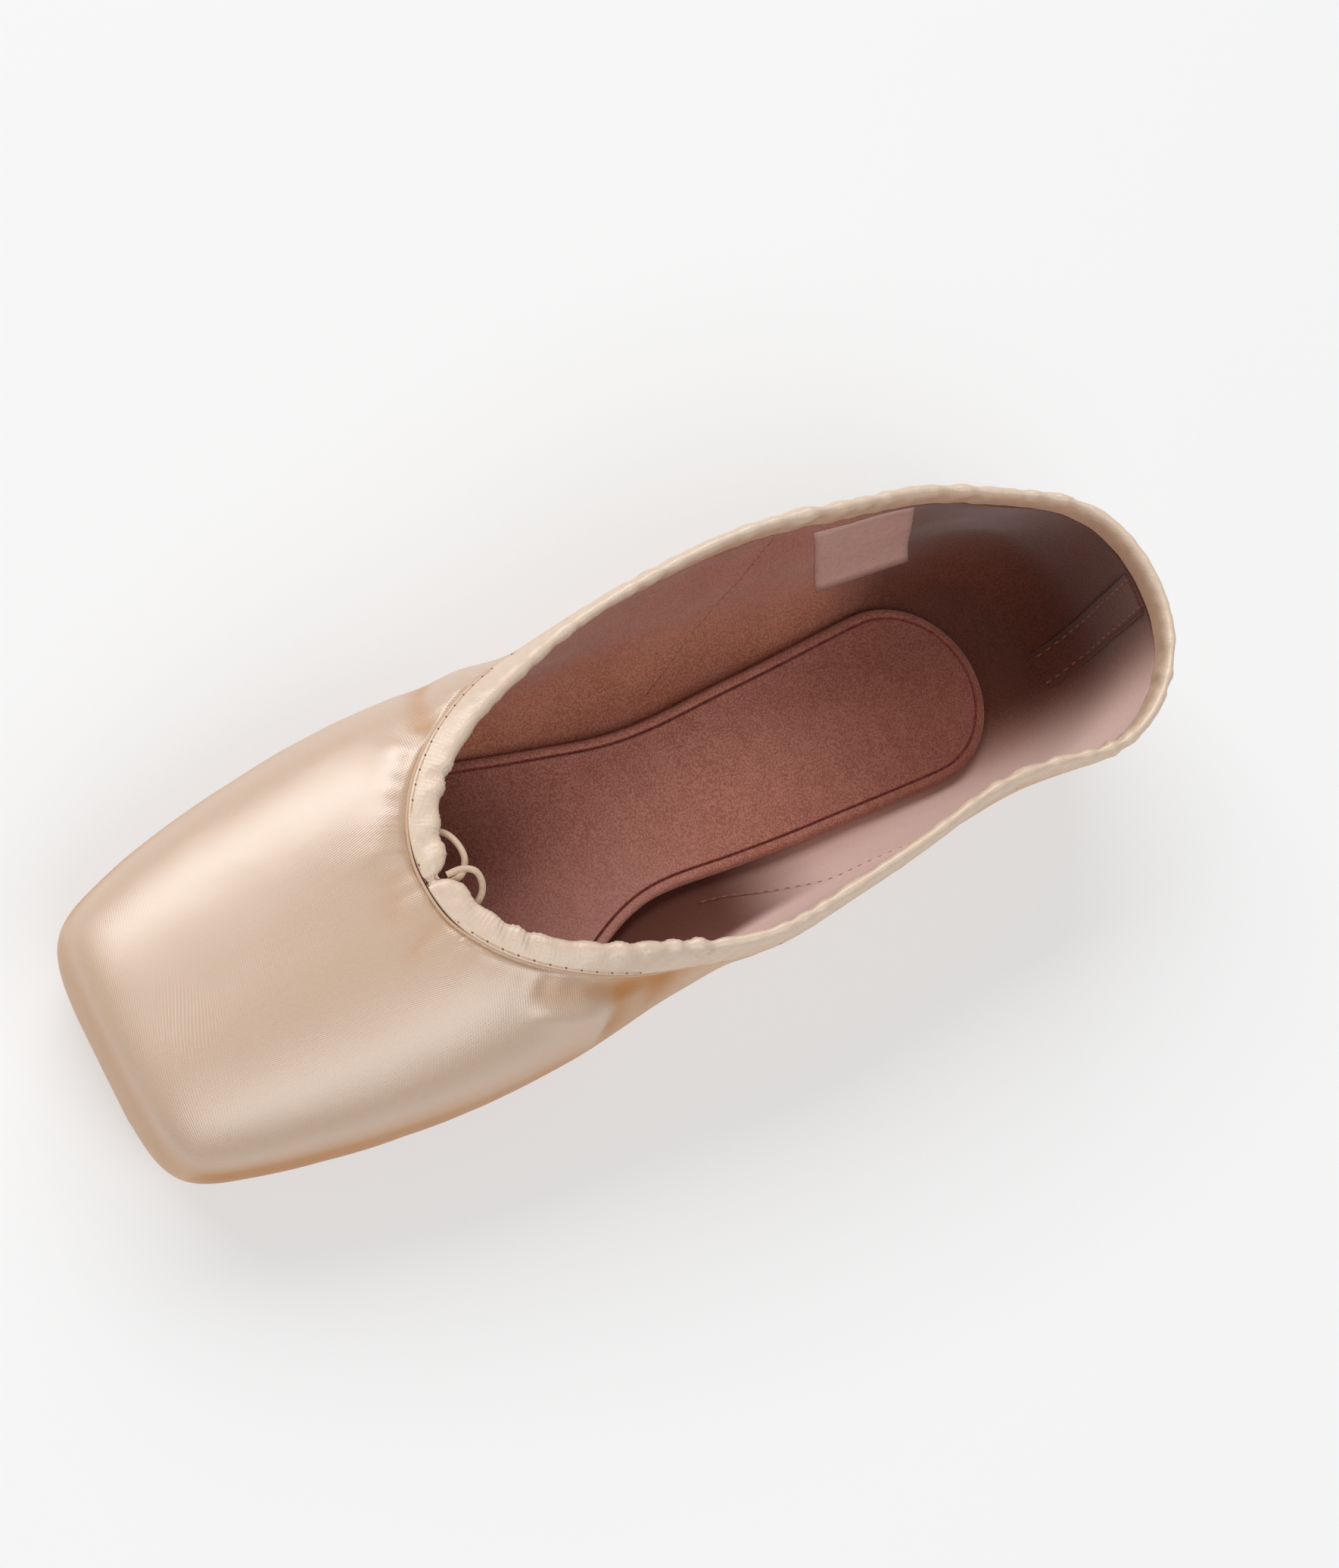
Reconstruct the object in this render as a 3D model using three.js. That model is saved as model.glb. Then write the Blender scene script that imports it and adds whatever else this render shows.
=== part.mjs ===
// A pointe shoe standing empty on its sole, in millimetres: +X to the toe, +Y to the wearer's left, +Z up.
import * as THREE from "three";

// Driving sizes.
const LENGTH = 235;
const HEEL_CENTRE = 35; // ribs behind this station fan out round the heel
const BOX_CENTRE = 125; // ribs in front of this station fan out over the box
const PLATFORM_START = 211; // where the box begins to round into its flat tip
const HEEL_ROUND = 2.3; // superellipse powers: 2 is an ellipse, more is squarer
const PLATFORM_ROUND = 6.5;
const TIP_LEAN = 0.16; // the flat tip stands square to the slope of the box, so its top edge leads
const LEAN_FROM = 190;
const THROAT_X = 170.5;
const THROAT_SHOULDER = 1.35; // how late the collar turns in towards the throat
const THROAT_BLUNTNESS = 2.3;

const QUARTER_WALL = 1.8; // satin, cotton and lining together
const BOX_WALL = 2.6; // the pasted layers of the box
const FIT_GAP = 0.3;

const BINDING_WIDTH = 6.3;
const BINDING_PROUD = 0.5;
const NOTCH_DEPTH = 3.2;
const CORD_DIAMETER = 1.3;

const OUTSOLE_THICKNESS = 2.2;
const INSOLE_THICKNESS = 2.6;
const ARCH_RISE = 1.4;
const ARCH_FROM = 62;
const ARCH_TO = 128;
const TOE_SPRING = 1.6;
const SPRING_FROM = 180;
const UNDERSIDE = OUTSOLE_THICKNESS + FIT_GAP;
const FLOOR = UNDERSIDE + QUARTER_WALL + FIT_GAP; // the insole's lower face

const CROWN_WIDTH_POWER = 2.8; // section above the girth
const CROWN_HEIGHT_POWER = 2.7;
const FLAT_SHARE = 0.64; // share of the width that lies flat underneath
const BASE_POWER = 2.2;
const OPENING_INSET = 5; // how far the opening lies inside the outsole's and the insole's edges

const HALF_STATIONS = 44;
const UPPER_ROWS = 17;
const OUTSOLE_STEPS = 24;
const INSOLE_STEPS = 40;
const BAND_ROWS = 25;

// The last: half width and height of its girth, height of its closed crown, and rim of the collar.
const LAST = [
  { x: 0, half: 30.5, girth: 21, crown: 100, rim: 47 },
  { x: 20, half: 29.8, girth: 22, crown: 100, rim: 46 },
  { x: 40, half: 30.2, girth: 23, crown: 98, rim: 46.5 },
  { x: 75, half: 33.4, girth: 25, crown: 86, rim: 49 },
  { x: 110, half: 35.6, girth: 24, crown: 65, rim: 46.5 },
  { x: 134, half: 36.4, girth: 22, crown: 56, rim: 44 },
  { x: 153, half: 38.6, girth: 20.5, crown: 51.5, rim: 43 },
  { x: 178, half: 38.8, girth: 19, crown: 46.8, rim: 42 },
  { x: 205, half: 35.2, girth: 17, crown: 39, rim: 42 },
  { x: LENGTH, half: 27.5, girth: 15.5, crown: 31.2, rim: 42 },
];

// The empty collar is slack: it flares to both sides behind the box, and slumps to the left at the heel.
const SLACK = [
  { x: 0, flare: 0, slump: 2.2 },
  { x: 20, flare: -0.5, slump: 5 },
  { x: 48, flare: 1.2, slump: -0.2 },
  { x: 78, flare: 3.3, slump: -1.6 },
  { x: 105, flare: 3.5, slump: -0.5 },
  { x: 120, flare: 2.8, slump: 0 },
  { x: 138, flare: 0.4, slump: 0 },
  { x: 155, flare: 0, slump: 0 },
];

const OUTSOLE = [
  { x: 10, half: 19 },
  { x: 32, half: 19.5 },
  { x: 60, half: 15.5 },
  { x: 95, half: 11.5 },
  { x: 125, half: 17 },
  { x: 155, half: 26 },
  { x: 185, half: 25 },
  { x: 205, half: 21 },
];
const OUTSOLE_HEEL_RADIUS = 19;
const OUTSOLE_TOE_RADIUS = 18;

const INSOLE = [
  { x: 26, half: 20.5 },
  { x: 48, half: 20 },
  { x: 80, half: 18.6 },
  { x: 108, half: 18.2 },
  { x: 130, half: 23 },
  { x: 152, half: 28 },
  { x: 185, half: 27 },
  { x: 216, half: 21 },
];
const INSOLE_HEEL_RADIUS = 20;
const INSOLE_TOE_RADIUS = 14;
const INSOLE_TUCK = 3.5; // how far the board's lower edge draws in under the ball
const BALL_TRIM = 2.6; // the board is pared on the wearer's left, beside the ball of the foot
const BALL_TRIM_AT = 122;
const BALL_TRIM_SPREAD = 15;

const SATIN = 0xdcb793;
const RIBBON = 0xf0e2cf;
const SUEDE = 0x96645a;
const SOLE_LEATHER = 0xa9866b;

const { abs, atan2, cos, hypot, max, min, PI, pow, sin } = Math;
const { clamp, smoothstep } = THREE.MathUtils;

function column(table, key) {
  const spline = new THREE.CubicInterpolant(
    table.map((row) => row.x),
    table.map((row) => row[key]),
    1,
  );
  const last = table[table.length - 1].x;
  return (x) => spline.evaluate(clamp(x, table[0].x, last))[0];
}

const half = column(LAST, "half");
const girth = column(LAST, "girth");
const crown = column(LAST, "crown");
const rim = column(LAST, "rim");
const flare = column(SLACK, "flare");
const slump = column(SLACK, "slump");

// Height of the sole line over the floor: a low arch under the waist and a little toe spring.
function lift(x) {
  const arch = clamp((x - ARCH_FROM) / (ARCH_TO - ARCH_FROM), 0, 1);
  const spring = max(x - SPRING_FROM, 0) / (LENGTH - SPRING_FROM);
  return ARCH_RISE * sin(PI * arch) ** 2 + TOE_SPRING * spring ** 2;
}

// What is left of a section's size where the box rounds into its flat tip.
function tipShare(x) {
  const share = clamp((x - PLATFORM_START) / (LENGTH - PLATFORM_START), 0, 1);
  return pow(1 - pow(share, PLATFORM_ROUND), 1 / PLATFORM_ROUND);
}

// Share of the height, over and under the girth, at a share of the half width.
function crownShare(across) {
  return pow(1 - pow(across, CROWN_WIDTH_POWER), 1 / CROWN_HEIGHT_POWER);
}

function baseShare(across) {
  const round = max(across - FLAT_SHARE, 0) / (1 - FLAT_SHARE);
  return pow(1 - pow(round, BASE_POWER), 1 / BASE_POWER);
}

// The share of the half width at which the wall reaches the collar's rim beside the foot.
function sideShare(x) {
  const up = (rim(x) - girth(x)) / (crown(x) - girth(x));
  return pow(1 - pow(up, CROWN_HEIGHT_POWER), 1 / CROWN_WIDTH_POWER);
}

// Half width of the throat in plan, in front of the place where the collar turns in.
function throatHalf(x) {
  const along = clamp((x - BOX_CENTRE) / (THROAT_X - BOX_CENTRE), 0, 1);
  const start = half(BOX_CENTRE) * sideShare(BOX_CENTRE);
  return start * pow(1 - pow(along, THROAT_SHOULDER), 1 / THROAT_BLUNTNESS);
}

// Runs along a polyline again in even steps, drawn closer together where it bends.
function resample(points, steps, bendLength) {
  const measure = [0];
  for (let i = 1; i < points.length; i++) {
    const step = points[i].clone().sub(points[i - 1]);
    const next = points[min(i + 1, points.length - 1)].clone().sub(points[i]);
    const bends = step.length() > 1e-4 && next.length() > 1e-4;
    measure.push(measure[i - 1] + step.length() + (bends ? step.angleTo(next) * bendLength : 0));
  }
  const total = measure[measure.length - 1];
  const result = [];
  let at = 1;
  for (let k = 0; k <= steps; k++) {
    const target = (total * k) / steps;
    while (at < measure.length - 1 && measure[at] < target) at++;
    const share = (target - measure[at - 1]) / max(measure[at] - measure[at - 1], 1e-9);
    result.push(points[at - 1].clone().lerp(points[at], clamp(share, 0, 1)));
  }
  return result;
}

// The left side of the last in plan, from the back of the heel to the middle of the platform.
function lastOutline() {
  const points = [];
  const steps = 240;
  for (let i = 0; i < steps; i++) {
    const angle = (PI / 2) * (i / steps);
    const x = HEEL_CENTRE * (1 - pow(cos(angle), 2 / HEEL_ROUND));
    points.push(new THREE.Vector3(x, half(x) * pow(sin(angle), 2 / HEEL_ROUND), 0));
  }
  for (let i = 0; i < steps; i++) {
    const x = HEEL_CENTRE + ((PLATFORM_START - HEEL_CENTRE) * i) / steps;
    points.push(new THREE.Vector3(x, half(x), 0));
  }
  for (let i = 0; i <= steps; i++) {
    const eased = i ** 3 / (i ** 3 + (steps - i) ** 3);
    const x = PLATFORM_START + (LENGTH - PLATFORM_START) * pow(sin((PI / 2) * eased), 2 / PLATFORM_ROUND);
    points.push(new THREE.Vector3(x, i === steps ? 0 : half(x) * tipShare(x), 0));
  }
  return points;
}

// The left side of a plate in plan, with a round heel end and a rounded toe end.
function plateOutline(table, heelRadius, toeRadius, edges) {
  const width = column(table, "half");
  const from = table[0].x;
  const to = table[table.length - 1].x;
  const points = [];
  const steps = 400;
  for (let i = 0; i <= steps; i++) {
    const x = from + ((to - from) * (1 - cos((PI * i) / steps))) / 2;
    const heel = max(from + heelRadius - x, 0) / heelRadius;
    const toe = max(x - to + toeRadius, 0) / toeRadius;
    const inside = i > 0 && i < steps;
    const y = inside ? width(x) * pow(1 - heel ** 2, 0.5) * pow(1 - pow(toe, 2.4), 1 / 2.4) : 0;
    points.push(new THREE.Vector3(x, y, 0));
  }
  return resample(points, edges, 6);
}

// Distance from a point on the centre line to a plate's left outline, in the given direction.
function reachTo(outline, originX, angle) {
  const ray = new THREE.Vector2(cos(angle), sin(angle));
  for (let i = 1; i < outline.length; i++) {
    const start = new THREE.Vector2(outline[i - 1].x - originX, outline[i - 1].y);
    const edge = new THREE.Vector2(outline[i].x - originX, outline[i].y).sub(start);
    const crossing = ray.cross(edge);
    if (abs(crossing) < 1e-9) continue;
    const along = start.cross(edge) / crossing;
    const share = start.cross(ray) / crossing;
    if (along > 0 && share > -1e-6 && share < 1 + 1e-6) return along;
  }
  throw new Error("no part of the outline lies in that direction");
}

const outsoleOutline = plateOutline(OUTSOLE, OUTSOLE_HEEL_RADIUS, OUTSOLE_TOE_RADIUS, OUTSOLE_STEPS);
const insoleOutline = plateOutline(INSOLE, INSOLE_HEEL_RADIUS, INSOLE_TOE_RADIUS, INSOLE_STEPS);

// Distance along a rib in the box at which the throat's edge cuts it.
function throatReach(angle, reach) {
  let inside = 0;
  let outside = reach;
  for (let i = 0; i < 40; i++) {
    const middle = (inside + outside) / 2;
    const x = BOX_CENTRE + middle * cos(angle);
    const isInside = x < THROAT_X && middle * sin(angle) <= throatHalf(x);
    if (isInside) inside = middle;
    else outside = middle;
  }
  return inside;
}

// One rib of the outer surface, from the rim over the girth to the opening underneath. Ribs run square to
// the centre line beside the foot, and fan out from a centre round the heel and over the box.
function rib(at) {
  const inBox = at.x > BOX_CENTRE;
  const originX = inBox ? BOX_CENTRE : max(at.x, HEEL_CENTRE);
  const angle = atan2(at.y, at.x - originX);
  const reach = hypot(at.x - originX, at.y);
  const rimAt = inBox ? throatReach(angle, reach) / reach : sideShare(at.x);
  const covered = min(reachTo(outsoleOutline, originX, angle), reachTo(insoleOutline, originX, angle));
  const openingAt = (covered - OPENING_INSET) / reach;

  function place(share, isCrown) {
    const x = originX + reach * share * cos(angle);
    const y = reach * share * sin(angle);
    const station = inBox ? x : at.x;
    const tip = inBox ? tipShare(x) : 1;
    const across = inBox ? min(y / max(half(x) * tip, 1e-6), 1) : share;
    const up = (crown(station) - girth(station)) * tip * crownShare(across);
    const down = (girth(station) - UNDERSIDE - lift(station)) * tip * baseShare(across);
    const z = girth(station) + (isCrown ? up : -down);
    const lean = TIP_LEAN * smoothstep(x, LEAN_FROM, LENGTH) * (z - UNDERSIDE);
    return new THREE.Vector3(x + lean, y, z);
  }

  const points = [];
  const steps = 240;
  for (let i = 0; i <= steps; i++) points.push(place(1 - (1 - rimAt) * pow(1 - i / steps, 8), true));
  for (let i = 1; i <= steps; i++) points.push(place(1 - (1 - openingAt) * pow(i / steps, 8), false));
  return points;
}

// Cuts a rib at a distance from its rim, and gives the two lengths.
function cutRib(points, distance) {
  let run = 0;
  for (let i = 1; i < points.length; i++) {
    const step = points[i].distanceTo(points[i - 1]);
    if (run + step > distance) {
      const cut = points[i - 1].clone().lerp(points[i], (distance - run) / step);
      return [[...points.slice(0, i), cut], [cut, ...points.slice(i)]];
    }
    run += step;
  }
  throw new Error("the rib is shorter than the cut");
}

// Adds the right side, mirrored, and lets the collar go slack.
function bothSides(leftRibs) {
  const mirror = (points) => points.map((p) => new THREE.Vector3(p.x, -p.y, p.z));
  const mirrored = leftRibs.slice(1, -1).map(mirror);
  const all = [...leftRibs, ...mirrored.reverse()];
  for (const points of all) {
    for (const p of points) {
      p.y += slump(p.x) * smoothstep(p.z, 12, 48);
      p.y += Math.sign(p.y) * flare(p.x) * smoothstep(p.z, 22, 46);
    }
  }
  return all;
}

// Outward unit normals of a grid of ribs that closes round the shoe.
function gridNormals(ribs) {
  return ribs.map((points, i) => {
    const before = ribs[(i + ribs.length - 1) % ribs.length];
    const after = ribs[(i + 1) % ribs.length];
    return points.map((point, j) => {
      const down = points[min(j + 1, points.length - 1)].clone().sub(points[max(j - 1, 0)]);
      return after[j].clone().sub(before[j]).cross(down).normalize();
    });
  });
}

function wallAt(p) {
  const inBox = smoothstep(p.x, 115, 150) * smoothstep(p.z, 6, 14);
  return QUARTER_WALL + (BOX_WALL - QUARTER_WALL) * inBox;
}

function solidFrom(points, triangles) {
  const geometry = new THREE.BufferGeometry().setFromPoints(points);
  geometry.setIndex(triangles);
  geometry.computeVertexNormals();
  return geometry;
}

// Joins closed sections, one after another, into a closed ring.
function ringSolid(sections) {
  const size = sections[0].length;
  const triangles = [];
  for (let i = 0; i < sections.length; i++) {
    const next = (i + 1) % sections.length;
    for (let j = 0; j < size; j++) {
      const across = (j + 1) % size;
      const [a, b] = [i * size + j, next * size + j];
      const [c, d] = [next * size + across, i * size + across];
      triangles.push(a, b, c, a, c, d);
    }
  }
  return solidFrom(sections.flat(), triangles);
}

// A plate between two height lines; its lower edge can draw in from its upper edge, and its left edge be trimmed.
function plateSolid(outline, bottom, thickness, tuck, trim) {
  const points = [];
  for (const p of outline) {
    const low = max(p.y - tuck(p.x), min(p.y, 0.5));
    const cut = p.y > 5 ? trim(p.x) : 0;
    points.push(new THREE.Vector3(p.x, p.y - cut, bottom(p.x) + thickness));
    points.push(new THREE.Vector3(p.x, low - cut, bottom(p.x)));
    points.push(new THREE.Vector3(p.x, -low, bottom(p.x)));
    points.push(new THREE.Vector3(p.x, -p.y, bottom(p.x) + thickness));
  }
  const triangles = [];
  for (let i = 0; i + 1 < outline.length; i++) {
    for (let j = 0; j < 4; j++) {
      const [a, b] = [i * 4 + j, i * 4 + ((j + 1) % 4)];
      triangles.push(a, a + 4, b + 4, a, b + 4, b);
    }
  }
  const end = (outline.length - 1) * 4;
  triangles.push(0, 1, 2, 0, 2, 3, end, end + 2, end + 1, end, end + 3, end + 2);
  return solidFrom(points, triangles);
}

function cordSolid(route, steps) {
  const path = new THREE.CatmullRomCurve3(route.map((p) => new THREE.Vector3(...p)), false, "centripetal");
  const section = new THREE.Shape();
  section.absarc(0, 0, CORD_DIAMETER / 2, 0, 2 * PI);
  return new THREE.ExtrudeGeometry(section, { steps, curveSegments: 8, extrudePath: path });
}

const leftRibs = resample(lastOutline(), HALF_STATIONS, 16).map(rib);
const throat = leftRibs[HALF_STATIONS][0];
const bands = bothSides(leftRibs.map((points) => resample(cutRib(points, BINDING_WIDTH)[0], BAND_ROWS, 0)));
const bandNormals = gridNormals(bands);

function upper() {
  const outer = bothSides(
    leftRibs.map((points) => resample(cutRib(points, BINDING_WIDTH + FIT_GAP)[1], UPPER_ROWS, 9)),
  );
  const normals = gridNormals(outer);
  normals.forEach((column, i) => {
    column[0] = bandNormals[i][BAND_ROWS]; // keeps the joint with the binding parallel
  });
  const sections = outer.map((points, i) => {
    const inner = points.map((p, j) => p.clone().addScaledVector(normals[i][j], -wallAt(p)));
    return [...points, ...inner.reverse()];
  });
  return ringSolid(sections);
}

// The binding's section: depth down from the rim, and height over the satin (negative is inside).
function bindingSection(wall) {
  return [
    [0, -wall / 2],
    [0.6, 0],
    [BINDING_WIDTH * 0.3, BINDING_PROUD],
    [BINDING_WIDTH * 0.66, BINDING_PROUD],
    [BINDING_WIDTH, BINDING_PROUD * 0.7],
    [BINDING_WIDTH, -wall - BINDING_PROUD * 0.7],
    [BINDING_WIDTH * 0.66, -wall - BINDING_PROUD],
    [BINDING_WIDTH * 0.3, -wall - BINDING_PROUD],
    [0.6, -wall],
  ];
}

function collarBinding() {
  const sections = bands.map((points, i) => {
    const notch = i === HALF_STATIONS ? NOTCH_DEPTH : 0;
    return bindingSection(wallAt(points[0])).map(([depth, height]) => {
      const lowered = depth + notch * (1 - depth / BINDING_WIDTH);
      const row = (lowered / BINDING_WIDTH) * BAND_ROWS;
      const low = min(Math.floor(row), BAND_ROWS - 1);
      const normal = bandNormals[i][low].clone().lerp(bandNormals[i][low + 1], row - low);
      return points[low].clone().lerp(points[low + 1], row - low).addScaledVector(normal, height);
    });
  });
  return ringSolid(sections);
}

function outsole() {
  const none = () => 0;
  return plateSolid(outsoleOutline, lift, OUTSOLE_THICKNESS, none, none);
}

function insole() {
  const tuck = (x) => INSOLE_TUCK * smoothstep(x, 112, 145);
  const trim = (x) => BALL_TRIM * Math.exp(-(((x - BALL_TRIM_AT) / BALL_TRIM_SPREAD) ** 2));
  return plateSolid(insoleOutline, (x) => FLOOR + lift(x), INSOLE_THICKNESS, tuck, trim);
}

// The two ends of the drawstring leave the notch, cross behind the rim and tuck in under the vamp.
const LEFT_CORD = [
  [throat.x - 1.4, -0.6, throat.z - 2.4],
  [throat.x - 2.8, 1.2, throat.z - 0.6],
  [throat.x - 3.6, 3.6, throat.z - 0.4],
  [throat.x - 3.0, 6.2, throat.z - 2.6],
  [throat.x + 0.4, 8.0, throat.z - 5.6],
  [throat.x + 6.0, 8.2, throat.z - 7.4],
  [throat.x + 13.0, 7.6, throat.z - 9.4],
  [throat.x + 21.0, 7.0, throat.z - 12.4],
];
const RIGHT_CORD = [
  [throat.x - 2.6, 2.6, throat.z - 5.6],
  [throat.x - 3.4, -0.6, throat.z - 4.5],
  [throat.x - 3.4, -4.4, throat.z - 3.4],
  [throat.x - 2.6, -8.0, throat.z - 4.2],
  [throat.x + 1.5, -10.0, throat.z - 6.4],
  [throat.x + 8.0, -9.6, throat.z - 8.4],
  [throat.x + 15.0, -9.0, throat.z - 11.0],
  [throat.x + 22.0, -8.4, throat.z - 13.8],
];

function piece(name, geometry, colour, roughness) {
  const material = new THREE.MeshStandardMaterial({ color: colour, roughness, metalness: 0 });
  const mesh = new THREE.Mesh(geometry, material);
  mesh.name = name;
  return mesh;
}

const shoe = new THREE.Group();
shoe.add(piece("upper", upper(), SATIN, 0.45));
shoe.add(piece("collar_binding", collarBinding(), RIBBON, 0.55));
shoe.add(piece("insole", insole(), SUEDE, 0.95));
shoe.add(piece("outsole", outsole(), SOLE_LEATHER, 0.8));
shoe.add(piece("drawstring_left", cordSolid(LEFT_CORD, 12), RIBBON, 0.7));
shoe.add(piece("drawstring_right", cordSolid(RIGHT_CORD, 12), RIBBON, 0.7));

// The origin is the middle of the shoe's footprint, on the floor.
const size = new THREE.Box3().setFromObject(shoe, true);
shoe.position.set(-(size.min.x + size.max.x) / 2, -(size.min.y + size.max.y) / 2, -size.min.z);

export default shoe;
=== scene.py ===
import math

import bmesh
import bpy
from mathutils import Matrix, Vector, noise
from mathutils.bvhtree import BVHTree
from mathutils.kdtree import KDTree


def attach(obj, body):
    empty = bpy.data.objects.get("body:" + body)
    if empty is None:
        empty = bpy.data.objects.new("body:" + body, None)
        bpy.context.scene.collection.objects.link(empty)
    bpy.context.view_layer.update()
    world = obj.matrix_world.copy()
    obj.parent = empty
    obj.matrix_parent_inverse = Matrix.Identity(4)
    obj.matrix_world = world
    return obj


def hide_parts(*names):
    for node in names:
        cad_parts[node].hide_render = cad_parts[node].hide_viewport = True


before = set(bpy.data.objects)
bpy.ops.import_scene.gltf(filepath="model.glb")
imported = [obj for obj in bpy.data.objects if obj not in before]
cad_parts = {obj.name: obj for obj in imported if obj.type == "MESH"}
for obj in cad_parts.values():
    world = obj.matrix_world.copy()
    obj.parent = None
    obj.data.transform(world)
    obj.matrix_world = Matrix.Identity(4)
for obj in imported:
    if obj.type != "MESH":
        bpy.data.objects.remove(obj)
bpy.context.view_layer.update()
scene = bpy.context.scene


# ---- Studio -------------------------------------------------------------------------------
# A sheet of pale matt paper that glows a little lies under the shoe, in an even white room.
# One large soft lamp stands on the wearer's right, a weaker one on the left, and a faint one
# beyond the toe.

FLOOR_SIZE = 6.0
PAPER = (0.42, 0.42, 0.42)
PAPER_GLOW = 0.475
ROOM_WHITE = (0.97, 0.985, 1.0)
ROOM_LIGHT = 0.17
LAMP_AIM = Vector((0, 0, 0.02))


def new_finish(name):
    """A material with one Principled shader, its node tree, and the shader."""
    material = bpy.data.materials.new(name)
    material.use_nodes = True
    tree = material.node_tree
    return material, tree, tree.nodes["Principled BSDF"]


paper, tree, shader = new_finish("pale_paper")
shader.inputs["Base Color"].default_value = (*PAPER, 1)
shader.inputs["Roughness"].default_value = 0.9
shader.inputs["Specular IOR Level"].default_value = 0.2
shader.inputs["Emission Color"].default_value = (1, 1, 1, 1)
shader.inputs["Emission Strength"].default_value = PAPER_GLOW

sheet = bmesh.new()
bmesh.ops.create_grid(sheet, x_segments=1, y_segments=1, size=FLOOR_SIZE)
floor_mesh = bpy.data.meshes.new("studio_floor")
sheet.to_mesh(floor_mesh)
sheet.free()
floor_mesh.materials.append(paper)
studio_floor = bpy.data.objects.new("studio_floor", floor_mesh)
scene.collection.objects.link(studio_floor)

room = bpy.data.worlds.new("white_room")
room.use_nodes = True
room_light = room.node_tree.nodes["Background"]
room_light.inputs["Color"].default_value = (*ROOM_WHITE, 1)
room_light.inputs["Strength"].default_value = ROOM_LIGHT
scene.world = room
scene.view_settings.view_transform = "Standard"
scene.view_settings.look = "None"


def soft_lamp(name, place, width, height, power):
    """A rectangular soft box at a place, turned to face the shoe."""
    lamp = bpy.data.lights.new(name, "AREA")
    lamp.shape = "RECTANGLE"
    lamp.size = width
    lamp.size_y = height
    lamp.energy = power
    holder = bpy.data.objects.new(name, lamp)
    holder.location = place
    holder.rotation_euler = (LAMP_AIM - Vector(place)).to_track_quat("-Z", "Y").to_euler()
    scene.collection.objects.link(holder)


soft_lamp("right_side_lamp", place=(-0.05, -1.90, 1.75), width=3.0, height=1.6, power=64)
soft_lamp("left_side_lamp", place=(0.35, 1.50, 1.90), width=2.4, height=1.8, power=32)
soft_lamp("front_lamp", place=(1.9, 0.1, 0.75), width=2.0, height=0.9, power=3)

# The camera stands over the toe, a little to the wearer's left, and is rolled.
CAMERA_AIM = Vector((-0.0110, -0.0022, 0.0175))
CAMERA_DISTANCE = 0.6892
CAMERA_TURN = math.radians(17.03)
CAMERA_HEIGHT = math.radians(62.42)
CAMERA_ROLL = math.radians(46.04)
LENS_ANGLE = math.radians(25.64)

away = Vector(
    (
        math.cos(CAMERA_HEIGHT) * math.cos(CAMERA_TURN),
        math.cos(CAMERA_HEIGHT) * math.sin(CAMERA_TURN),
        math.sin(CAMERA_HEIGHT),
    )
)
lens = bpy.data.cameras.new("camera")
lens.angle = LENS_ANGLE
lens.clip_start = 0.05
lens.clip_end = 20
camera = bpy.data.objects.new("camera", lens)
level_view = (-away).to_track_quat("-Z", "Y").to_matrix()
camera.matrix_world = Matrix.Translation(CAMERA_AIM + away * CAMERA_DISTANCE) @ (
    level_view @ Matrix.Rotation(CAMERA_ROLL, 3, "Z")
).to_4x4()
scene.collection.objects.link(camera)
scene.camera = camera


# ---- Drawstring ---------------------------------------------------------------------------
# One soft cotton cord runs inside the binding all round the opening. Its two ends come out
# of the notch over the throat, cross behind the rim, and are tucked in under the vamp.

MM = 0.001
CORD_DIAMETER = 0.0013
# How dark the painted shade between the strands of a thread is.
STRAND_GAP_PAINTED_SHADE = 0.82

# Each end's route in millimetres from the notch over the throat, out of the casing first.
THROAT = Vector((0.05132, 0, 0.04836))
LEFT_END = [
    (1.6, 0.2, -1.4),
    (-1.2, 0.5, -0.5),
    (-3.1, 1.9, 0.1),
    (-3.7, 4.0, -0.7),
    (-3.0, 6.2, -2.6),
    (0.4, 8.0, -5.6),
    (6.0, 8.2, -7.4),
    (13.0, 7.6, -9.4),
    (21.0, 7.0, -12.4),
]
RIGHT_END = [
    (1.6, 1.4, -3.4),
    (-1.8, 1.0, -3.2),
    (-3.6, -1.4, -2.6),
    (-3.7, -5.0, -2.8),
    (-2.6, -8.0, -4.2),
    (1.5, -10.0, -6.4),
    (8.0, -9.6, -8.4),
    (15.0, -9.0, -11.0),
    (22.0, -8.4, -13.8),
]


def smooth_route(points, steps):
    """A centripetal spline through the points, cut into so many steps between each two."""
    ends = [points[0] * 2 - points[1], *points, points[-1] * 2 - points[-2]]
    route = []
    for i in range(1, len(ends) - 2):
        a, b, c, d = ends[i - 1 : i + 3]
        t1 = (b - a).length ** 0.5
        t2 = t1 + (c - b).length ** 0.5
        t3 = t2 + (d - c).length ** 0.5
        for k in range(steps):
            t = t1 + (t2 - t1) * k / steps
            ab = a * ((t1 - t) / t1) + b * (t / t1)
            bc = b * ((t2 - t) / (t2 - t1)) + c * ((t - t1) / (t2 - t1))
            cd = c * ((t3 - t) / (t3 - t2)) + d * ((t - t2) / (t3 - t2))
            abc = ab * ((t2 - t) / t2) + bc * (t / t2)
            bcd = bc * ((t3 - t) / (t3 - t1)) + cd * ((t - t1) / (t3 - t1))
            route.append(abc * ((t2 - t) / (t2 - t1)) + bcd * ((t - t1) / (t2 - t1)))
    return [*route, points[-1]]


def route_length(route):
    """The length of a route along its points."""
    return sum((b - a).length for a, b in zip(route, route[1:]))


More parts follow.
